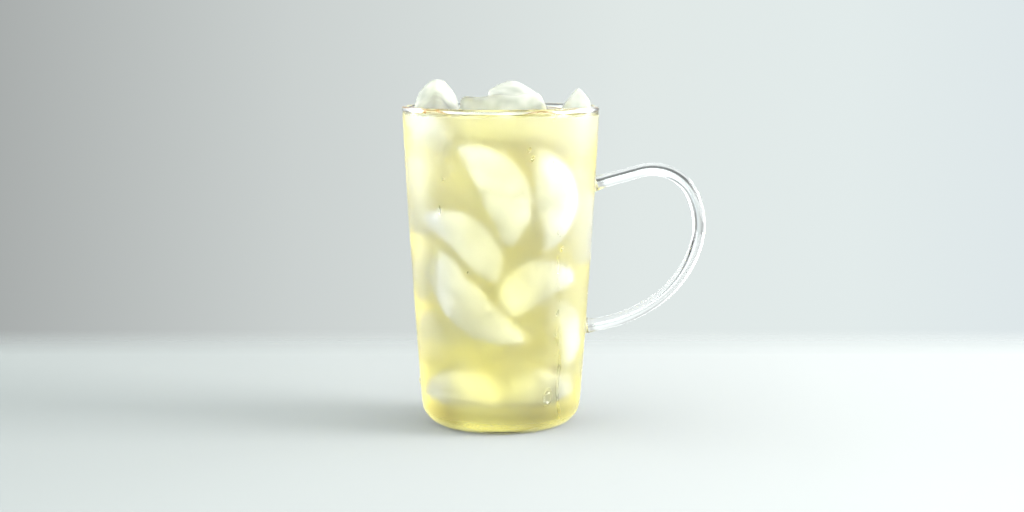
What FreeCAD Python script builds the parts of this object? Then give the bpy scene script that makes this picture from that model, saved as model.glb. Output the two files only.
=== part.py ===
"""Tall glass mug of iced tea: one glass cup with a fused rod handle, the tea in it, and the
lumps of ice that stand out of the tea.

All sizes are in millimetres. +Z is up, the origin is the centre of the flat foot, and the
handle points along +X. Each piece is one closed solid, written to parts/NODE.step.
"""

import FreeCAD
import Part
import math
import os

# --- the cup: a tall tumbler of blown glass, a little wider at the rim ---------------------
mug_height = 130.0
rim_radius = 40.0          # outside of the lip
foot_radius = 21.9         # flat disc that the cup stands on
corner_radius = 10.5       # outside rounding between foot and wall
wall_lean = 4.35           # degrees outwards from upright where the wall leaves the corner
wall_thickness = 1.8
floor_thickness = 3.0
lip_radius = 1.15          # fire-polished bead, a little thicker than the wall

# --- the handle: a round glass rod in the XZ plane, fused to the wall at both ends ----------
rod_radius = 2.6
handle_height = 98.6       # height of the rod's centre where it leaves the wall
handle_rise = 15.3         # degrees above level of its first, straight run
handle_run = 19.4          # length of that run
handle_arcs = (            # the rest, turning down and back to the wall: radius, degrees
    (17.9, 79.7),
    (29.0, 40.4),
    (42.1, 40.6),
    (57.9, 37.0),          # ends inside the cup, where the cavity trims it
)
weld_flare = 0.6           # how much wider than the rod the weld is at the wall
weld_length = 2.2

# --- the tea -------------------------------------------------------------------------------
tea_drop = 2.6             # from the top of the lip down to the tea

# --- the ice: half-moon lumps from a freezer tray, rounded by melting ------------------------
# size: length along the flat side, rise of the round side over it, width across
# melt: rounding of every edge
# place: x and y of the centre as shares of the cup's inner radius, and height over the tea
# turn: yaw, pitch and roll in degrees, from lying flat side down along X
ice_lumps = {
    "ice_left": {
        "size": (46.0, 15.0, 17.0), "melt": 4.5, "place": (-0.685, -0.08, -3.0), "turn": (96, -30, -130),
    },
    "ice_middle": {
        "size": (40.0, 14.0, 19.0), "melt": 3.8, "place": (0.035, -0.12, -3.0), "turn": (0, -2, -112),
    },
    "ice_back": {
        "size": (36.0, 16.0, 16.0), "melt": 4.5, "place": (0.24, 0.42, -3.0), "turn": (0, -116, 142),
    },
    "ice_right": {
        "size": (30.0, 14.0, 14.0), "melt": 2.5, "place": (0.745, 0.05, -5.6), "turn": (-179, 56, -177),
    },
}

ORIGIN = FreeCAD.Vector(0.0, 0.0, 0.0)
Y_AXIS = FreeCAD.Vector(0.0, 1.0, 0.0)
Z_AXIS = FreeCAD.Vector(0.0, 0.0, 1.0)

# where the bead's circle meets the two faces of the wall
wall_top_radius = rim_radius - lip_radius + wall_thickness / 2
wall_top_height = mug_height - lip_radius - math.sqrt(lip_radius**2 - (wall_thickness / 2) ** 2)
tea_level = mug_height - tea_drop


def point(x, z):
    """A point in the XZ plane."""
    return FreeCAD.Vector(x, 0.0, z)


def heading(degrees):
    """The unit vector in the XZ plane at this angle above +X."""
    return point(math.cos(math.radians(degrees)), math.sin(math.radians(degrees)))


def arc_through(start, middle, end):
    return Part.Arc(start, middle, end).toShape()


def line(start, end):
    return Part.LineSegment(start, end).toShape()


# --- the glass -----------------------------------------------------------------------------

def wall_side(bottom_height, radius, top_radius):
    """Corner and wall of one face of the cup, as two arcs tangent to each other.

    The corner turns about a point over the foot's edge, from straight down to the wall's
    lean. The wall starts with that lean and bows gently to its top.
    """
    centre = point(foot_radius, bottom_height + radius)
    corner_end = centre + heading(-wall_lean) * radius
    corner = arc_through(
        centre + heading(-90) * radius,
        centre + heading((-90 - wall_lean) / 2) * radius,
        corner_end,
    )
    top = point(top_radius, wall_top_height)
    chord = top - corner_end
    chord_angle = math.degrees(math.atan2(chord.z, chord.x))
    half_turn = (90 - wall_lean - chord_angle) / 2
    bow = chord.Length / 2 * math.tan(math.radians(half_turn))
    middle = corner_end + chord * 0.5 + heading(chord_angle + 90) * bow
    return corner, arc_through(corner_end, middle, top)


def outer_side():
    return wall_side(0.0, corner_radius, wall_top_radius)


def inner_side():
    return wall_side(floor_thickness, corner_radius - wall_thickness, wall_top_radius - wall_thickness)


def turned(edges):
    """The solid made by turning a closed outline in the XZ plane once about the Z axis."""
    outline = Part.Wire(Part.__sortEdges__(edges))
    return Part.Face(outline).revolve(ORIGIN, Z_AXIS, 360)


def body():
    """The cup without its hollow, bead included."""
    corner, wall = outer_side()
    bead = arc_through(
        point(wall_top_radius, wall_top_height),
        point(rim_radius - lip_radius, mug_height),
        point(wall_top_radius - wall_thickness, wall_top_height),
    )
    foot_edge = point(foot_radius, 0.0)
    bead_foot = point(0.0, wall_top_height)
    return turned([
        line(ORIGIN, foot_edge),
        corner,
        wall,
        bead,
        line(point(wall_top_radius - wall_thickness, wall_top_height), bead_foot),
        line(bead_foot, ORIGIN),
    ])


def cavity():
    """The cup's hollow up to the bead."""
    corner, wall = inner_side()
    floor_centre = point(0.0, floor_thickness)
    mouth_centre = point(0.0, wall_top_height)
    return turned([
        line(floor_centre, point(foot_radius, floor_thickness)),
        corner,
        wall,
        line(point(wall_top_radius - wall_thickness, wall_top_height), mouth_centre),
        line(mouth_centre, floor_centre),
    ])


def handle_route():
    """The edges of the rod's centre line, from inside the top joint to inside the bottom one."""
    wall = outer_side()[1]
    level = line(point(0.0, handle_height), point(2 * rim_radius, handle_height))
    joint = wall.distToShape(level)[1][0][0]
    angle = handle_rise
    start = joint - heading(angle) * wall_thickness
    place = joint + heading(angle) * handle_run
    edges = [line(start, place)]
    for radius, turn in handle_arcs:
        centre = place + heading(angle - 90) * radius
        middle = centre + heading(angle + 90 - turn / 2) * radius
        end = centre + heading(angle + 90 - turn) * radius
        edges.append(arc_through(place, middle, end))
        place = end
        angle -= turn
    return edges


def weld(edge, outwards):
    """The flare where an edge of the route crosses the outside of the wall."""
    joint = edge.distToShape(outer_side()[1])[1][0][0]
    tangent = edge.tangentAt(edge.Curve.parameter(joint)) * outwards
    taper = weld_flare / weld_length
    buried = wall_thickness        # the cone starts this far inside the wall, and ends inside the rod
    return Part.makeCone(
        rod_radius + weld_flare + taper * buried,
        rod_radius - taper * buried,
        weld_length + 2 * buried,
        joint - tangent * buried,
        tangent,
    )


def handle():
    route = handle_route()
    section = Part.Wire(Part.makeCircle(rod_radius, route[0].valueAt(0.0), heading(handle_rise)))
    rod = Part.Wire(route).makePipeShell([section], True, True)
    return rod.fuse([weld(route[0], 1), weld(route[-1], -1)])


def glass():
    return body().fuse(handle()).cut(cavity()).removeSplitter()


# --- the ice -------------------------------------------------------------------------------

def half_moon(length, rise, width, melt):
    """A lump about the origin, with its length along X and its round side up."""
    left = FreeCAD.Vector(-length / 2, -width / 2, -rise / 2)
    right = FreeCAD.Vector(length / 2, -width / 2, -rise / 2)
    crown = FreeCAD.Vector(0.0, -width / 2, rise / 2)
    side = Part.Face(Part.Wire([arc_through(left, crown, right), line(right, left)]))
    lump = side.extrude(Y_AXIS * width)
    return lump.makeFillet(melt, lump.Edges)


def set_in_place(lump, place, turn):
    """The lump turned, and moved to its place over the tea."""
    inner_radius = wall_top_radius - wall_thickness
    share_x, share_y, over_tea = place
    centre = FreeCAD.Vector(share_x * inner_radius, share_y * inner_radius, tea_level + over_tea)
    placed = lump.copy()
    placed.Placement = FreeCAD.Placement(centre, FreeCAD.Rotation(*turn))
    return placed


def ice(cup):
    """Every lump by name. Where lumps press on the cup or each other, the later one is melted."""
    lumps = {}
    taken = [cup]
    for name, lump in ice_lumps.items():
        whole = set_in_place(half_moon(*lump["size"], lump["melt"]), lump["place"], lump["turn"])
        lumps[name] = whole.cut(taken).Solids[0]
        taken.append(lumps[name])
    return lumps


# --- the tea -------------------------------------------------------------------------------

def tea(lumps):
    """The tea fills the cup up to its level, round the lumps of ice."""
    below_level = Part.makeCylinder(rim_radius, tea_level)
    return cavity().common(below_level).cut(lumps)


def main():
    cup = glass()
    lumps = ice(cup)
    nodes = {"glass": cup, "tea": tea(list(lumps.values())), **lumps}
    os.makedirs("parts", exist_ok=True)
    for name, shape in nodes.items():
        shape.Solids[0].exportStep(f"parts/{name}.step")
        print(f"{name}: {len(shape.Solids)} solid, {shape.Volume / 1000:.1f} cm3, valid {shape.isValid()}")


main()
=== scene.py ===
# %% [markdown]
# # A tall glass mug of iced tea
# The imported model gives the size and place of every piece. This lesson gives each piece its
# real surface: clear glass that is fogged outside, pale tea, milky ice, and beads of water.
# Everything here is in metres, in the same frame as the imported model, so nothing is fitted.

import bmesh
import bpy
import numpy as np
from mathutils import Matrix, Vector


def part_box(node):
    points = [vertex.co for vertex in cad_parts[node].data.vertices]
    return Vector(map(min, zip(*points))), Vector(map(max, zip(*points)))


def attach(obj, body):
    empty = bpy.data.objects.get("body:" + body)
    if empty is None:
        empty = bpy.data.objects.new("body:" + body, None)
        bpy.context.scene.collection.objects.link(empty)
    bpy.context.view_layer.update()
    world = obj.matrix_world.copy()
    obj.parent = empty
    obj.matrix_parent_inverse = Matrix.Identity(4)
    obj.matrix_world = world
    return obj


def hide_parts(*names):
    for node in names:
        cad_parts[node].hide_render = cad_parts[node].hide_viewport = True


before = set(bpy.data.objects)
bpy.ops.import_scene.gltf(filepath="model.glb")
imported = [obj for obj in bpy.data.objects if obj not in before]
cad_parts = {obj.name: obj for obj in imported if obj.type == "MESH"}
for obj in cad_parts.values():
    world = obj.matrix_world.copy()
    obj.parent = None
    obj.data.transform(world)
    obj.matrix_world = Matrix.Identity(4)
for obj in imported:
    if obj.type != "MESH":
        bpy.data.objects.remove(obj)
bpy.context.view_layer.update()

MM = 0.001
CM3 = 1e-6

# %% [markdown]
# ## One helper for every closed surface
# A cup, a rod, a lump of ice and a drop of water are all grids of points whose first and last
# rows shrink to one point each, like the poles of a globe. One helper turns such a grid into a
# mesh. A mesh made this way has no seam, no doubled points and no open edge, which matters
# for glass, because light has to know when it is inside.

# %% Closed grids
def closed_grid(points):
    """Vertices and faces of a grid whose columns wrap round and whose end rows are poles.

    points[row, column] goes from one pole to the other. Inner rows give quads, and the two
    poles give fans of triangles. Seen from outside, columns run anticlockwise about the line
    from the first pole to the last, which makes the faces point outwards.
    """
    rows, columns = points.shape[:2]
    inner = points[1:-1].reshape(-1, 3)
    vertices = np.vstack([points[0, :1], inner, points[-1, :1]])
    here = np.arange(columns)
    after = (here + 1) % columns
    starts = 1 + columns * np.arange(rows - 3)[:, None]
    quads = np.stack(
        [starts + here, starts + after, starts + columns + after, starts + columns + here], -1
    ).reshape(-1, 4)
    last = len(vertices) - 1
    first_fan = np.stack([np.zeros_like(here), 1 + after, 1 + here], -1)
    last_fan = np.stack([np.full_like(here, last), last - columns + here, last - columns + after], -1)
    return vertices, quads, np.vstack([first_fan, last_fan])


def add_mesh(name, grids):
    """One object out of several closed grids, smooth all over."""
    vertices, faces, count = [], [], 0
    for points in grids:
        v, quads, fans = closed_grid(points)
        vertices.append(v)
        faces += (quads + count).tolist() + (fans + count).tolist()
        count += len(v)
    mesh = bpy.data.meshes.new(name)
    mesh.from_pydata(np.vstack(vertices), [], faces)
    mesh.shade_smooth()
    piece = bpy.data.objects.new(name, mesh)
    bpy.context.scene.collection.objects.link(piece)
    return piece


def boolean(piece, other, operation):
    """Joins other to piece or cuts it away, for good, and removes other."""
    modifier = piece.modifiers.new(operation.lower(), "BOOLEAN")
    modifier.object = other
    modifier.operation = operation
    modifier.solver = "EXACT"
    finished = piece.evaluated_get(bpy.context.evaluated_depsgraph_get())
    shape = bpy.data.meshes.new_from_object(finished)
    piece.modifiers.clear()
    old = piece.data
    piece.data = shape
    shape.name = old.name
    bpy.data.meshes.remove(old)
    bpy.data.objects.remove(other)


def report(piece):
    """Prints the faces, the volume, and how many edges don't have exactly two faces.

    A closed mesh has no such edge, and its volume is positive when its faces point outwards.
    """
    shape = bmesh.new()
    shape.from_mesh(piece.data)
    open_edges = sum(len(edge.link_faces) != 2 for edge in shape.edges)
    volume = shape.calc_volume(signed=True)
    shape.free()
    faces = len(piece.data.polygons)
    print(f"{piece.name}: {faces} faces, {open_edges} open edges, {volume / CM3:.1f} cm3")

# %% [markdown]
# ## The cup
# A tall tumbler is blown into a turning mould, so it is round everywhere: one outline carried
# round an axis. Lathe-like shapes could be made with the Screw modifier, but a formula lets the
# tea and the drops ask for the wall's radius at any height. The outline is a flat foot, a round
# corner, a wall that leans out and bows a little, and a bead where the rim was melted smooth.

# %% Sizes of the cup
glass_low, glass_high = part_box("glass")
tea_low, tea_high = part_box("tea")
rim_radius = -glass_low.x / MM
mug_height = glass_high.z / MM
floor_height = tea_low.z / MM
tea_level = tea_high.z / MM
foot_radius = 21.9
corner_radius = 10.5
wall = 1.8
wall_lean = np.radians(4.35)
lip_radius = 1.15
wall_top_radius = rim_radius - lip_radius + wall / 2
wall_top_height = mug_height - lip_radius - np.sqrt(lip_radius**2 - (wall / 2) ** 2)
print(f"rim {rim_radius:.1f}, height {mug_height:.1f}, floor {floor_height:.1f}, tea {tea_level:.1f} mm")


def arc(centre, radius, start, end, count):
    """Points at centre + radius (cos a, sin a), for count angles from start to end."""
    angles = np.linspace(start, end, count)
    return np.stack([centre[0] + radius * np.cos(angles), centre[1] + radius * np.sin(angles)], -1)


def wall_side(bottom, radius, top_radius, count):
    """Corner and wall of one face of the glass, as (radius, height) pairs from the foot up.

    The wall leaves the corner at its lean, and its distance from the chord is the parabola
    4 b t (1 - t), with the bow b that makes it tangent to the corner.
    """
    corner = arc((foot_radius, bottom + radius), radius, -np.pi / 2, -wall_lean, 24)
    start = corner[-1]
    chord = np.array([top_radius, wall_top_height]) - start
    length = np.hypot(*chord)
    outwards = np.array([chord[1], -chord[0]]) / length
    lean_difference = np.arctan2(chord[1], chord[0]) - (np.pi / 2 - wall_lean)
    bow = length * np.tan(lean_difference) / 4
    t = np.linspace(0, 1, count)[1:, None]
    return np.vstack([corner, start + chord * t + outwards * bow * 4 * t * (1 - t)])


outer = wall_side(0.0, corner_radius, wall_top_radius, 70)
inner = wall_side(floor_height, corner_radius - wall, wall_top_radius - wall, 70)


def outer_radius(height):
    return np.interp(height, outer[:, 1], outer[:, 0])


def inner_radius(height):
    return np.interp(height, inner[:, 1], inner[:, 0])

# %% The cup's surface
def turned(outline, columns=192):
    """Carries (radius, height) pairs once round the Z axis: (r cos a, r sin a, z)."""
    angles = np.linspace(0, 2 * np.pi, columns, endpoint=False)
    radius, height = outline[:, :1], outline[:, 1:]
    return np.stack([radius * np.cos(angles), radius * np.sin(angles), height + 0 * angles], -1) * MM


bead_start = np.arctan2(wall_top_height - (mug_height - lip_radius), wall / 2)
bead_centre = rim_radius - lip_radius, mug_height - lip_radius
bead = arc(bead_centre, lip_radius, bead_start, np.pi - bead_start, 20)
flat = np.linspace(0, foot_radius, 12)[:-1]
cup_outline = np.vstack([
    np.stack([flat, 0 * flat], -1),
    outer[:-1],
    bead,
    inner[-2::-1],
    np.stack([flat[::-1], 0 * flat + floor_height], -1),
])
mug = add_mesh("mug_glass", [turned(cup_outline)])
report(mug)

# %% [markdown]
# ## The handle
# The handle is one rod, bent hot and fused to the wall at both ends. A rod is a circle carried
# along a path. A curve object with a round bevel could make it, but the flare at each weld
# needs a radius that changes along the path, so the rings are worked out here. The path is a
# straight run and four arcs that are tangent to each other, the way a rod bends.

# %% The rod's path
rod_radius = 2.6
weld_flare = 0.6
weld_length = 2.2
weld_depth = 0.9
handle_height = 98.6
handle_rise = np.radians(15.3)
handle_run = 19.4
handle_arcs = ((17.9, 79.7), (29.0, 40.4), (42.1, 40.6), (57.9, 29.9))


def handle_path(spacing=0.8):
    """Points (x, z) and headings along the rod.

    On a straight run the heading stays. On an arc of radius R the heading falls by s / R after
    a length s, and the point moves on a circle about the arc's centre.
    """
    start = np.array([outer_radius(handle_height), handle_height])
    heading = handle_rise
    along = np.array([np.cos(heading), np.sin(heading)])
    steps = np.linspace(0, handle_run, int(handle_run / spacing))[:, None]
    points = [start + along * steps]
    headings = [np.full(len(steps), heading)]
    for radius, degrees in handle_arcs:
        turn = np.radians(degrees)
        centre = points[-1][-1] + radius * np.array([np.sin(heading), -np.cos(heading)])
        angles = np.linspace(0, turn, int(radius * turn / spacing))[1:]
        now = heading - angles
        points.append(centre + radius * np.stack([-np.sin(now), np.cos(now)], -1))
        headings.append(now)
        heading -= turn
    return np.vstack(points), np.concatenate(headings)


path, headings = handle_path()
lengths = np.concatenate([[0], np.cumsum(np.hypot(*np.diff(path, axis=0).T))])
print(f"rod {lengths[-1]:.0f} mm long, reaches x {path[:, 0].max() + rod_radius:.1f} mm")

# %% The rod's surface, fused to the cup
def rod_grid(columns=48):
    """Rings about the path: centre + r (cos a * sideways + sin a * upwards).

    The radius is the rod's, plus a flare at both ends that dies away as exp(-(s / weld)^2). Each
    end ring slides along the rod until it lies at one depth inside the wall.
    """
    angles = np.linspace(0, 2 * np.pi, columns, endpoint=False)
    to_end = np.minimum(lengths, lengths[-1] - lengths)
    radius = rod_radius + weld_flare * np.exp(-((to_end / weld_length) ** 2))
    along = np.stack([np.cos(headings), 0 * headings, np.sin(headings)], -1)
    upwards = np.stack([-np.sin(headings), 0 * headings, np.cos(headings)], -1)
    sideways = np.array([0.0, 1.0, 0.0])
    centres = np.stack([path[:, 0], 0 * lengths, path[:, 1]], -1)
    cosine, sine = np.cos(angles)[None, :, None], np.sin(angles)[None, :, None]
    ring = cosine * sideways + sine * upwards[:, None]
    rings = centres[:, None] + radius[:, None, None] * ring
    for end in (0, -1):
        for _ in range(6):
            off_wall = np.hypot(rings[end][:, 0], rings[end][:, 1]) - outer_radius(rings[end][:, 2])
            rings[end] -= ((off_wall + weld_depth) / along[end][0])[:, None] * along[end]
    caps = rings[[0, -1]].mean(1, keepdims=True)
    poles = np.broadcast_to(caps, (2, columns, 3))
    return np.concatenate([poles[:1], rings, poles[1:]]) * MM


rod = add_mesh("rod", [rod_grid()])
report(rod)
boolean(mug, rod, "UNION")
report(mug)

# %% [markdown]
# ## Ice
# The lumps are half-moons from an ice maker: a flat side, a round side and two flat ends,
# softened by melting. Box modelling with a bevel would leave straight creases. Here a lump is
# the surface where a smooth mixture of three distances is zero, so its edges are rounded the
# way melting rounds them. Low waves make each lump a little different.

# %% A lump of ice
melt_depth = 0.16
side_taper = 0.02


def lump_grid(length, rise, width, softness, seed, inset=0.0, rows=52, columns=48):
    """A half-moon about the origin, in mm, as a grid of directions and the distance along each.

    The solid is where soft maximum (outside the sides, below the flat, outside the arc) < 0.
    The soft maximum of distances d is s log(sum exp(d / s)), with s the softness. Five seeded
    waves, sin(k . place + phase), then move the surface in or out. Each direction's distance is
    found by halving an interval that holds the surface.
    """
    rng = np.random.default_rng(seed)
    waves = rng.uniform(0.18, 0.5, (5, 3)) * rng.choice([-1, 1], (5, 3))
    phases = rng.uniform(0, 2 * np.pi, 5)
    arc_radius = (length**2 / 4 + rise**2) / (2 * rise)
    u = np.linspace(0, np.pi, rows)[:, None]
    v = np.linspace(0, 2 * np.pi, columns, endpoint=False)[None]
    directions = np.stack([-np.cos(u) + 0 * v, -np.sin(u) * np.sin(v), np.sin(u) * np.cos(v)], -1)

    def outside(distance):
        x, y, z = np.moveaxis(directions * distance[..., None], -1, 0)
        parts = np.stack([
            np.abs(y) - width / 2 + side_taper * z,
            -z - rise / 2,
            np.hypot(x, z - rise / 2 + arc_radius) - arc_radius,
        ])
        soft = softness * np.log(np.exp(parts / softness).sum(0))
        melt = sum(np.sin(k[0] * x + k[1] * y + k[2] * z + p) for k, p in zip(waves, phases))
        return soft + melt_depth * melt + inset

    low = np.zeros(directions.shape[:2])
    high = np.full(directions.shape[:2], length)
    for _ in range(26):
        middle = (low + high) / 2
        inside = outside(middle) < 0
        low = np.where(inside, middle, low)
        high = np.where(inside, high, middle)
    return directions * low[..., None]


def turned_to(points, turn):
    """The points turned by yaw, pitch and roll in degrees, from lying flat side down along X."""
    yaw, pitch, roll = np.radians(turn)
    upright = Matrix.Rotation(pitch, 3, "Y") @ Matrix.Rotation(roll, 3, "X")
    matrix = np.array(Matrix.Rotation(yaw, 3, "Z") @ upright)
    return points @ matrix.T

# %% [markdown]
# Four lumps stand out of the tea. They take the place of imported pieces, so each is moved to
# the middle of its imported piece's box. The sunk lumps lie clear of each other and of the wall:
# a front row that shows through the glass, and a back row that only lightens the middle. A
# rigid body simulation could pile them up, but then no lump would lie where it should.

# %% Sizes and places of the lumps
sunk_softness = 1.4
first_sunk_seed = 10

# size: length, rise and width; softness of the edges; turn: yaw, pitch and roll
standing_lumps = {
    "ice_left": ((42, 15, 17), 1.5, (96, -30, -130)),
    "ice_middle": ((36, 14, 19), 1.2, (0, -2, -112)),
    "ice_back": ((34, 16, 16), 1.5, (0, -116, 142)),
    "ice_right": ((30, 14, 14), 0.8, (-179, 56, -177)),
}
# size, place of the middle, turn
sunk_lumps = (
    ((46, 18, 15), (1, -20, 99), (0, 66, 0)),
    ((43, 16, 16), (20, -15, 95), (10, 84, 0)),
    ((34, 13, 15), (-26, 1, 95), (70, 80, 0)),
    ((40, 16, 14), (-11, -18, 79), (0, 45, 0)),
    ((50, 17, 15), (-12, -16, 51), (0, 50, 180)),
    ((29, 18, 14), (11, -13, 61), (0, -32, 0)),
    ((30, 12, 13), (22, -5, 40), (40, 80, 0)),
    ((28, 16, 15), (-12, -6, 18), (15, 8, 0)),
    ((23, 15, 14), (13, -7, 18), (-15, -12, 0)),
    ((44, 15, 18), (-12, 17, 98), (30, 60, 0)),
    ((42, 15, 18), (14, 16, 91), (-20, -60, 0)),
    ((34, 15, 18), (-14, 14, 68), (0, -30, 0)),
    ((34, 15, 18), (15, 13, 57), (0, 55, 0)),
    ((36, 14, 17), (-8, 14, 40), (10, 10, 0)),
    ((30, 14, 16), (10, 13, 24), (-20, -10, 0)),
    ((32, 12, 13), (-26, -1, 66), (90, 84, 0)),
    ((24, 11, 12), (-24, -3, 38), (80, 80, 0)),
    ((32, 11, 13), (28, 1, 82), (90, 84, 0)),
    ((30, 13, 9), (-3, 0, 62), (0, 30, 0)),
    ((26, 13, 10), (1, 0, 39), (0, -40, 0)),
    ((34, 12, 13), (-8, 0, 98), (60, 84, 0)),
    ((30, 13, 9), (4, -1, 82), (0, -25, 0)),
)


def standing_grid(name, inset=0.0):
    """A standing lump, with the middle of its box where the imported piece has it."""
    size, softness, turn = standing_lumps[name]
    seed = list(standing_lumps).index(name)
    full = turned_to(lump_grid(*size, softness, seed), turn)
    low, high = (np.array(corner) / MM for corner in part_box(name))
    middle = (full.min((0, 1)) + full.max((0, 1))) / 2
    shape = turned_to(lump_grid(*size, softness, seed, inset), turn)
    return (shape - middle + (low + high) / 2) * MM


def sunk_grid(index, inset=0.0):
    """A sunk lump, with its own seed, at its place in the tea."""
    size, place, turn = sunk_lumps[index]
    shape = lump_grid(*size, sunk_softness, first_sunk_seed + index, inset)
    return (turned_to(shape, turn) + np.array(place)) * MM


standing = {
    name: add_mesh(name.replace("ice", "lump"), [standing_grid(name)])
    for name in standing_lumps
}
front_row = [*range(9), 17]
back_row = [index for index in range(len(sunk_lumps)) if index not in front_row]
front_ice = add_mesh("lumps_front", [sunk_grid(index) for index in front_row])
back_ice = add_mesh("lumps_back", [sunk_grid(index) for index in back_row])
for piece in [*standing.values(), front_ice, back_ice]:
    report(piece)

# %% [markdown]
# ## Tea
# The tea fills what the ice leaves. It is the cup's inner outline carried round, a little
# larger than the hollow, so it reaches just into the wall. Light then goes from glass to tea
# with no layer of air between, which would shine like a mirror. The lumps are cut out of it a
# little smaller than they are, for the same reason. A fluid simulation would add nothing here,
# because tea at rest is flat but for the thin lip that climbs whatever it touches.

# %% The tea's surface
reach = 0.3
climb = 1.1


def tea_grid(columns=192):
    """The tea as an outline of revolution with a wavy lip at the wall.

    The side is the inner outline moved outwards by the reach, along its own normal. Near the
    wall the surface stands climb * (1 + waves) * exp(-gap / 1 mm) over the level, with gap the
    distance to the wall.
    """
    below = inner[inner[:, 1] < tea_level - 0.5]
    along = np.gradient(below, axis=0)
    normal = np.stack([along[:, 1], -along[:, 0]], -1) / np.hypot(*along.T)[:, None]
    bottom = np.stack([flat, 0 * flat + floor_height - reach], -1)
    near_wall = [-reach, 0, 0.2, 0.4, 0.7, 1, 1.4, 1.9, 2.6, 3.6, 5, 7]
    gap = np.array([*near_wall, *range(10, 35, 4)])
    top = np.stack([inner_radius(tea_level) - gap, 0 * gap + tea_level], -1)
    points = turned(np.vstack([bottom, below + reach * normal, top, [[0.0, tea_level]]]), columns)
    bearing = np.linspace(0, 2 * np.pi, columns, endpoint=False)
    waves = 0.3 * np.sin(5 * bearing + 0.6) + 0.2 * np.sin(11 * bearing + 2.0)
    lip = climb * (1 + waves) * np.exp(-np.maximum(gap, 0))[:, None]
    points[-1 - len(gap):-1, :, 2] += lip * MM
    return points


tea = add_mesh("tea_drink", [tea_grid()])
report(tea)

# %% [markdown]
# Air leaves melting ice as small bubbles that hang on the lump in front. A bubble is a hole in
# the tea, so the bubbles are cut out together with the pockets for the ice.

# %% Pockets for the ice, and bubbles
def ball(centre, radius, rows=9, columns=12):
    """A sphere: centre + radius (sin u cos v, sin u sin v, -cos u)."""
    u = np.linspace(0, np.pi, rows)[:, None]
    v = np.linspace(0, 2 * np.pi, columns, endpoint=False)[None]
    shape = np.stack([np.sin(u) * np.cos(v), np.sin(u) * np.sin(v), -np.cos(u) + 0 * v], -1)
    return (centre + radius * shape) * MM


pocket_inset = 0.15
bubble_count = 14
bubble_spans = (-12, -2), (-31, -28), (42, 60)

rng = np.random.default_rng(8)
bubble_places = np.stack([rng.uniform(*span, bubble_count) for span in bubble_spans], -1)
bubble_radii = rng.uniform(0.2, 0.5, bubble_count)
pockets = [standing_grid(name, pocket_inset) for name in standing_lumps]
pockets += [sunk_grid(index, pocket_inset) for index in range(len(sunk_lumps))]
pockets += [ball(place, radius) for place, radius in zip(bubble_places, bubble_radii)]
boolean(tea, add_mesh("pockets", pockets), "DIFFERENCE")
report(tea)

# %% [markdown]
# ## Water on the cold glass
# A cup of ice gathers dew. The finest dew is a fog that only blurs, so it is a finish of the
# glass and not geometry. Drops large enough to see are small caps of water, wider at the
# bottom, that stand on the wall. Sinking each cap a little into the glass leaves no gap
# behind it. Particles could scatter them, but a seeded list gives the same drops every time.

# %% Drops of water
drop_height = 0.45
drop_depth = 0.15
drop_sag = 0.25


def drops_on_wall(bearing, height, half_width, stretch, rows, columns):
    """Caps on the outside of the wall, as [drop, row, column, xyz] grids.

    A cap is half_width (cos v sideways + stretch sin v upwards) sin u. It stands
    drop_height half_width cos u off the wall, and its far side is drop_depth into the wall. It
    sags: its width is scaled by 1 - drop_sag sin v, so it is widest below its middle.
    """
    u = np.linspace(np.pi, 0, rows)[None, :, None]
    v = np.linspace(0, 2 * np.pi, columns, endpoint=False)[None, None]
    bearing, height, half_width, stretch = (
        np.asarray(value, float)[:, None, None] for value in (bearing, height, half_width, stretch)
    )
    sideways = half_width * np.sin(u) * np.cos(v) * (1 - drop_sag * np.sin(v))
    level = height + half_width * stretch * np.sin(u) * np.sin(v)
    off = np.where(u < np.pi / 2, drop_height * half_width, drop_depth) * np.cos(u)
    radius = outer_radius(level) + off
    angle = bearing + sideways / outer_radius(level)
    return np.stack([radius * np.cos(angle), radius * np.sin(angle), level + 0 * angle], -1) * MM


# %% [markdown]
# Each large drop has a bearing from the front in radians, a height, a half width, and how much
# taller it is than wide. The run-off is a line of eight that a drop left as it ran down. The
# beads are scattered evenly over the wall.

# %% Where the drops are
large_drops = [
    (0.6, 15.5, 1.6, 1.6), (0.56, 127.6, 0.7, 1.6), (-0.61, 103, 0.55, 1.6), (-0.69, 90, 0.7, 2.2),
    (-0.09, 99.5, 0.45, 1.1), (0.3, 114, 0.45, 1.2), (0.32, 111, 0.35, 1.2), (0.57, 109.5, 0.45, 1.1),
    (0.73, 75, 0.45, 1.5), (0.1, 57, 0.4, 1.1), (-0.35, 66, 0.35, 1.2), (2.2, 22, 1.2, 1.4),
    (3.5, 31, 1.0, 1.5), (-1.5, 18, 1.1, 1.4), (2.8, 70, 0.7, 1.3), (-2.1, 52, 0.8, 1.4),
]
run_off = [(0.66 + 0.006 * k, 82 - 8.3 * k, 0.25 + 0.1 * (k % 3), 1.3) for k in range(8)]
placed = np.array(large_drops + run_off)
drops = drops_on_wall(placed[:, 0] - np.pi / 2, *placed[:, 1:].T, 14, 24)

bead_count = 700
rng = np.random.default_rng(4)
bead_width = rng.uniform(0.07, 0.2, bead_count) * rng.choice([1, 1, 1, 1.6], bead_count)
bead_places = rng.uniform(0, 2 * np.pi, bead_count), rng.uniform(4, 126, bead_count)
beads = drops_on_wall(*bead_places, bead_width, rng.uniform(0.9, 1.3, bead_count), 6, 8)
water = add_mesh("water_drops", [*drops, *beads])
report(water)

# %% [markdown]
# ## Finishes
# Every piece here is clear, so each one is Principled glass with its own index of refraction:
# 1.47 for laboratory glass, 1.33 for tea and water, 1.31 for ice. What makes them look apart
# is the rest: fog on the outside of the wall, colour inside the tea, milk inside the ice.

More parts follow.
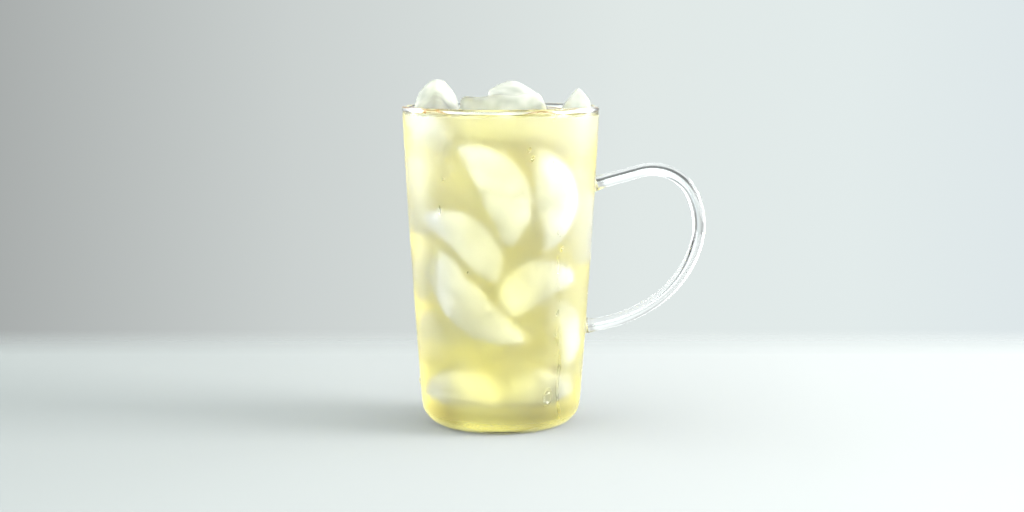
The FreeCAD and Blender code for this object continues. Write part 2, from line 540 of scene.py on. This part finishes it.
# %% A starting point for every finish
def clear_finish(name, index_of_refraction, colour):
    """A new material with one Principled shader that lets all light through."""
    material = bpy.data.materials.new(name)
    material.use_nodes = True
    shader = material.node_tree.nodes["Principled BSDF"]
    shader.inputs["Base Color"].default_value = (*colour, 1)
    shader.inputs["IOR"].default_value = index_of_refraction
    shader.inputs["Transmission Weight"].default_value = 1.0
    shader.inputs["Roughness"].default_value = 0.0
    return material, shader


# %% [markdown]
# The finishes, the floor and the room are all small graphs of nodes. These helpers each add
# one node or one pair, and give back its output. The owner is a material or the world.

# %% Helpers for nodes
def add_node(owner, kind, **settings):
    node = owner.node_tree.nodes.new(kind)
    for key, value in settings.items():
        setattr(node, key, value)
    return node


def link(owner, output, socket):
    owner.node_tree.links.new(output, socket)


def axes(owner, coordinates="Object"):
    """The X, Y and Z outputs of one kind of coordinates."""
    place = add_node(owner, "ShaderNodeTexCoord")
    split = add_node(owner, "ShaderNodeSeparateXYZ")
    link(owner, place.outputs[coordinates], split.inputs["Vector"])
    return split.outputs


def noise(owner, scale, detail=3.0):
    """A noise texture that reads Object coordinates, with its scale in cells per metre."""
    texture = add_node(owner, "ShaderNodeTexNoise")
    texture.inputs["Scale"].default_value = scale
    texture.inputs["Detail"].default_value = detail
    place = add_node(owner, "ShaderNodeTexCoord")
    link(owner, place.outputs["Object"], texture.inputs["Vector"])
    return texture.outputs["Fac"]


def remap(owner, value, from_low, from_high, to_low, to_high):
    """value taken linearly from one span to another, and kept inside it."""
    node = add_node(owner, "ShaderNodeMapRange")
    spans = {"From Min": from_low, "From Max": from_high, "To Min": to_low, "To Max": to_high}
    for key, number in spans.items():
        node.inputs[key].default_value = number
    link(owner, value, node.inputs["Value"])
    return node.outputs["Result"]


def math_node(owner, operation, *values):
    """An arithmetic node, with each value a number or another node's output."""
    node = add_node(owner, "ShaderNodeMath", operation=operation)
    for socket, value in zip(node.inputs, values):
        if isinstance(value, bpy.types.NodeSocket):
            link(owner, value, socket)
        else:
            socket.default_value = value
    return node.outputs[0]


def blend(owner, share, first, second):
    """A colour that goes from first to second as share goes from 0 to 1."""
    node = add_node(owner, "ShaderNodeMix", data_type="RGBA")
    node.inputs["A"].default_value = (*first, 1)
    node.inputs["B"].default_value = (*second, 1)
    link(owner, share, node.inputs["Factor"])
    return node.outputs["Result"]


def bump(owner, shader, height, distance, strength):
    """Tilts the shading by a height, as fine relief that needs no geometry."""
    node = add_node(owner, "ShaderNodeBump")
    node.inputs["Distance"].default_value = distance
    node.inputs["Strength"].default_value = strength
    link(owner, height, node.inputs["Height"])
    link(owner, node.outputs["Normal"], shader.inputs["Normal"])

# %% [markdown]
# The fog needs to know where the outside of the wall is. The mesh can tell: a point whose
# distance from the axis is the outline's radius lies on the outside, and the rod and the
# hollow don't. That becomes an attribute of the mesh, which the material reads. There is no
# fog under a drop, because the drop has gathered it.

# %% Where the fog lies
fog_bottom = 2.0
fog_top = 128.0
fade_bottom = 5.0
fade_top = 2.0
wall_tolerance = 0.06

points = np.empty(len(mug.data.vertices) * 3)
mug.data.vertices.foreach_get("co", points)
x, y, z = points.reshape(-1, 3).T / MM
on_wall = np.abs(np.hypot(x, y) - outer_radius(z)) < wall_tolerance
fade = np.clip((z - fog_bottom) / fade_bottom, 0, 1) * np.clip((fog_top - z) / fade_top, 0, 1)
wetted = np.ones(len(x))
for bearing, height, half_width, stretch in placed:
    sideways = (np.arctan2(x, -y) - bearing) * outer_radius(height) / half_width
    upwards = (z - height) / (half_width * stretch)
    wetted *= np.clip((np.hypot(sideways, upwards) - 0.8) / 0.9, 0, 1)
fog = mug.data.attributes.new("fog", "FLOAT", "POINT")
fog.data.foreach_set("value", on_wall * fade * wetted)
print(f"fog on {on_wall.mean():.0%} of the glass's vertices")

# %% [markdown]
# Where a drop ran down, it swept some of the fog away. Its path is a strip of the wall in
# Object coordinates, about a line that wanders as sin(260 z). The fog is thinner near that
# line, below the place where the drop set off, and on the front of the glass only.

# %% The swept path
glass_finish, glass_shader = clear_finish("glass_finish", 1.47, (1, 1, 1))
glass_x, glass_y, glass_z = axes(glass_finish)
wave = math_node(glass_finish, "SINE", math_node(glass_finish, "MULTIPLY", glass_z, 260.0))
path_x = math_node(glass_finish, "MULTIPLY_ADD", wave, 0.0005, 0.0229)
from_path = math_node(glass_finish, "ABSOLUTE", math_node(glass_finish, "SUBTRACT", glass_x, path_x))
off_path = remap(glass_finish, from_path, 0.0003, 0.0016, 0.6, 1.0)
above_path = remap(glass_finish, glass_z, 0.074, 0.084, 0.0, 1.0)
behind = remap(glass_finish, glass_y, -0.01, 0.0, 0.0, 1.0)
unswept = math_node(glass_finish, "MAXIMUM", off_path, above_path)
unswept = math_node(glass_finish, "MAXIMUM", unswept, behind)

# %% [markdown]
# Fog is countless drops too small to see, so it is roughness: light that goes through is bent
# a little at random. A soft noise makes it patchy, and a fine bump gives it grain. Clear glass
# has a roughness of zero, so the rim, the rod and the hollow stay bright.

# %% Fogged glass
fog_roughness = 0.44
fog_here = add_node(glass_finish, "ShaderNodeAttribute", attribute_name="fog").outputs["Fac"]
patches = remap(glass_finish, noise(glass_finish, 90.0, 4.0), 0.35, 0.65, 0.8, 1.1)
fog_amount = math_node(glass_finish, "MULTIPLY", fog_here, unswept)
fog_amount = math_node(glass_finish, "MULTIPLY", fog_amount, patches)
roughness = math_node(glass_finish, "MULTIPLY", fog_amount, fog_roughness)
link(glass_finish, roughness, glass_shader.inputs["Roughness"])
dew = math_node(glass_finish, "MULTIPLY", noise(glass_finish, 1400.0, 2.0), fog_amount)
bump(glass_finish, glass_shader, dew, 0.0001, 0.25)
print(f"glass: roughness 0 where clear, about {fog_roughness} in the fog")

# %% [markdown]
# Tea is a clear liquid that takes out blue light as it goes through. Volume Absorption says how
# much in each metre: density times one minus colour. So a thin layer is nearly clear, and the
# full width of the cup is a pale greenish yellow. Its skin has a faint ripple from the ice
# that melts in it, and a drop of water has a faint unevenness from the dust it holds.

# %% Tea and water
tea_finish, tea_shader = clear_finish("tea_finish", 1.333, (1, 1, 1))
absorption = add_node(tea_finish, "ShaderNodeVolumeAbsorption")
absorption.inputs["Color"].default_value = (0.998, 0.935, 0.27, 1)
absorption.inputs["Density"].default_value = 37.0
tea_out = tea_finish.node_tree.nodes["Material Output"]
link(tea_finish, absorption.outputs["Volume"], tea_out.inputs["Volume"])
bump(tea_finish, tea_shader, noise(tea_finish, 120.0, 2.0), 0.001, 0.1)
water_finish, water_shader = clear_finish("water_finish", 1.333, (1, 1, 1))
bump(water_finish, water_shader, noise(water_finish, 900.0, 2.0), 0.0001, 0.15)
density = absorption.inputs["Density"].default_value
share = [np.exp(-density * (1 - part) * 0.07) for part in absorption.inputs["Color"].default_value[:3]]
print("share of red, green and blue light through 70 mm of tea:", [round(part, 2) for part in share])

# %% [markdown]
# Ice from a freezer is clear outside and milky in its middle, where air was trapped. Light that
# enters is scattered and comes out white. A scattering volume would be true but slow and
# grainy, so the surface mixes clear ice with a white one by a soft noise.

# %% Ice
def icy_finish(name, colour, least_clear, most_clear):
    """Ice whose share of clear surface wanders between two values."""
    material, shader = clear_finish(name, 1.31, colour)
    clear_share = remap(material, noise(material, 45.0), 0.4, 0.62, least_clear, most_clear)
    link(material, clear_share, shader.inputs["Transmission Weight"])
    shader.inputs["Roughness"].default_value = 0.12
    shader.inputs["Subsurface Weight"].default_value = 1.0
    shader.inputs["Subsurface Radius"].default_value = (1.0, 1.0, 1.0)
    shader.inputs["Subsurface Scale"].default_value = 0.006
    bump(material, shader, noise(material, 160.0, 2.0), 0.001, 0.25)
    return material


milky_ice = icy_finish("milky_ice", (1, 1, 0.96), 0.0, 0.5)
clearer_ice = icy_finish("clearer_ice", (1, 1, 1), 0.7, 0.97)
# The standing lumps' ice, whose tops get painted shade in the next cell.
shaded_top_ice = icy_finish("shaded_top_ice", (1, 1, 0.95), 0.3, 0.75)
print("ice finishes:", milky_ice.name, clearer_ice.name, shaded_top_ice.name)

# %% [markdown]
# The lumps that stand out of the tea get painted shade above the level: their white is greyer
# there, so the strong light of the room doesn't make the tops glare. The change is short in
# height, on Object coordinates.

# %% Painted shade on the standing tops
# Painted shade: the base colour turns greyer above the tea level.
shaded_top_shader = shaded_top_ice.node_tree.nodes["Principled BSDF"]
painted_shade_share = remap(shaded_top_ice, axes(shaded_top_ice)["Z"], 0.125, 0.1285, 0.0, 1.0)
painted_shade_colour = blend(shaded_top_ice, painted_shade_share, (1, 1, 0.95), (0.6, 0.61, 0.545))
link(shaded_top_ice, painted_shade_colour, shaded_top_shader.inputs["Base Color"])

# %% [markdown]
# ## Pieces on the frame
# Nothing here moves on its own, so every piece rides on the one body. The cup, the tea and the
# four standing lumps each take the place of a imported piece. The sunk ice and the water are
# extra, so they replace nothing.

# %% Every piece rides on the one body
pieces = [
    (mug, "glass", glass_finish),
    (tea, "tea", tea_finish),
    (front_ice, "ice", milky_ice),
    (back_ice, "ice", clearer_ice),
    (water, None, water_finish),
]
pieces += [(lump, "ice", shaded_top_ice) for lump in standing.values()]
for piece, slot, finish in pieces:
    piece.data.materials.append(finish)
    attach(piece, "root")
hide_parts("glass")
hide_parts("tea")
for name, lump in standing.items():
    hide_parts(name)
print(len(pieces), "pieces ride on root")

# %% [markdown]
# ## Floor, light and camera
# The object is judged on its own, so the room is plain: a pale floor whose far edge melts into
# a pale background, one large soft lamp from the right that gives the long shadow, and light
# from all round that is darker on the left.

# %% Floor
floor_size = 1.5
corners = [(-1, -1), (1, -1), (1, 1), (-1, 1)]
floor_mesh = bpy.data.meshes.new("floor")
floor_mesh.from_pydata([(x * floor_size, y * floor_size, 0) for x, y in corners], [], [(0, 1, 2, 3)])
floor = bpy.data.objects.new("floor", floor_mesh)
bpy.context.scene.collection.objects.link(floor)
floor_finish = bpy.data.materials.new("floor_finish")
floor_finish.use_nodes = True
floor_shader = floor_finish.node_tree.nodes["Principled BSDF"]
floor_shader.inputs["Roughness"].default_value = 0.6
floor_shader.inputs["Specular IOR Level"].default_value = 0.0
floor_x, floor_y, _ = axes(floor_finish)
# Painted shade: the floor is darker on the left and lighter on the right, for light that falls off away
# from the lamp.
painted_light_rightwards = remap(floor_finish, floor_x, -0.45, 0.15, 0.0, 1.0)
floor_painted_shade = blend(floor_finish, painted_light_rightwards, (0.27, 0.29, 0.285), (0.47, 0.48, 0.475))
link(floor_finish, floor_painted_shade, floor_shader.inputs["Base Color"])
shown = remap(floor_finish, floor_y, 0.17, 0.25, 1.0, 0.0)
link(floor_finish, shown, floor_shader.inputs["Alpha"])
floor_mesh.materials.append(floor_finish)
print("floor reaches", floor_size, "m each way, and fades out behind the mug")

# %% [markdown]
# The room is a band of greys that depends only on how far to the right a direction points.
# Seen plainly, it is the backdrop. The dark stretch near the right end is outside the view: it
# is what a clear rod bends into sight, and it draws the dark line down the handle.

# %% The room's greys
world = bpy.data.worlds.new("room")
world.use_nodes = True
bpy.context.scene.world = world
to_right, to_back, upwards = axes(world, "Generated")
ramp = add_node(world, "ShaderNodeValToRGB")
link(world, remap(world, to_right, -0.6, 0.6, 0.0, 1.0), ramp.inputs["Fac"])
stops = ramp.color_ramp.elements
stops[0].color = (0.8, 0.84, 0.83, 1)
stops[1].color = (0.9, 0.94, 0.95, 1)
for position, colour in (
    (0.14, (0.75, 0.79, 0.78)),
    (0.28, (0.38, 0.40, 0.395)),
    (0.41, (0.60, 0.64, 0.63)),
    (0.55, (0.75, 0.81, 0.795)),
    (0.64, (0.765, 0.835, 0.83)),
    (0.72, (0.73, 0.80, 0.82)),
    (0.78, (0.25, 0.26, 0.26)),
    (0.9, (0.35, 0.36, 0.36)),
):
    stops.new(position).color = (*colour, 1)
print(len(stops), "greys from left to right")

# %% [markdown]
# The light of the room is the same greys, made stronger out of view: overhead, and low down on
# all sides but straight behind the mug. Behind the mug and under the floor's level it is
# weaker. Light Path tells what is seen plainly from what lights the mug, so the backdrop stays
# pale grey. A row of lamps could do this too, but clear glass would show each one of them.

# %% The room's light
overhead = remap(world, upwards, 0.02, 0.12, 1.0, 1.5)
beside = remap(world, to_back, 0.8, 0.3, 0.0, 8.6)
low_down = remap(world, upwards, 0.5, 0.15, 0.0, 1.15)
below = remap(world, upwards, -0.17, -0.22, 1.0, 0.25)
not_ahead = remap(world, to_back, 0.8, 0.6, 0.0, 1.0)
brightness = math_node(world, "ADD", overhead, math_node(world, "MULTIPLY", beside, low_down))
strength = math_node(world, "MULTIPLY", brightness, math_node(world, "MAXIMUM", below, not_ahead))
lit = world.node_tree.nodes["Background"]
plain_room = add_node(world, "ShaderNodeBackground")
link(world, ramp.outputs["Color"], lit.inputs["Color"])
link(world, ramp.outputs["Color"], plain_room.inputs["Color"])
link(world, strength, lit.inputs["Strength"])
seen = add_node(world, "ShaderNodeLightPath").outputs["Is Camera Ray"]
either = add_node(world, "ShaderNodeMixShader")
link(world, seen, either.inputs["Fac"])
link(world, lit.outputs["Background"], either.inputs[1])
link(world, plain_room.outputs["Background"], either.inputs[2])
link(world, either.outputs["Shader"], world.node_tree.nodes["World Output"].inputs["Surface"])

# %% Lamp
lamp_data = bpy.data.lights.new("soft_lamp", "AREA")
lamp_data.shape = "RECTANGLE"
lamp_data.size = 1.0
lamp_data.size_y = 1.0
lamp_data.energy = 54.0
lamp = bpy.data.objects.new("soft_lamp", lamp_data)
bpy.context.scene.collection.objects.link(lamp)
lamp.location = (2.0, -0.42, 0.82)
aim = Vector((0, 0, 0.06)) - lamp.location
lamp.rotation_euler = aim.to_track_quat("-Z", "Y").to_euler()
print(f"lamp of {lamp_data.energy:.0f} W, {aim.length:.1f} m from the mug")

# %% [markdown]
# The camera stands just over the rim's height and tips down a little, so the rim is a thin
# ellipse and the foot a rounder one. A long lens keeps the mug's sides nearly straight.

# %% Camera
camera_tilt = 6.585
camera_data = bpy.data.cameras.new("camera")
camera_data.lens = 70.3
camera_data.sensor_width = 36.0
camera = bpy.data.objects.new("camera", camera_data)
bpy.context.scene.collection.objects.link(camera)
camera.location = (0.0045, -0.81, 0.1624)
camera.rotation_euler = (np.radians(90 - camera_tilt), 0, 0)
bpy.context.scene.camera = camera
print(f"lens {camera_data.lens:.1f} mm, {-camera.location.y:.2f} m in front of the mug")

# %% [markdown]
# A path through this cup crosses more than twenty surfaces: glass, tea, and in and out of one
# lump after another. Light that is shut inside a lump and reflected back from its skin counts
# as glossy, and the usual limit for that is four. Each limit that ends a path early ends it in
# black, which would make the ice grey, so they are all high. The Standard view keeps the pale
# yellow as it is worked out, where AgX would grey it.

# %% How light is followed and shown
bounce_limit = 120
scene = bpy.context.scene
for limit in ("max_bounces", "transmission_bounces", "glossy_bounces", "diffuse_bounces"):
    setattr(scene.cycles, limit, bounce_limit)
scene.cycles.sample_clamp_indirect = 20.0
scene.view_settings.view_transform = "Standard"
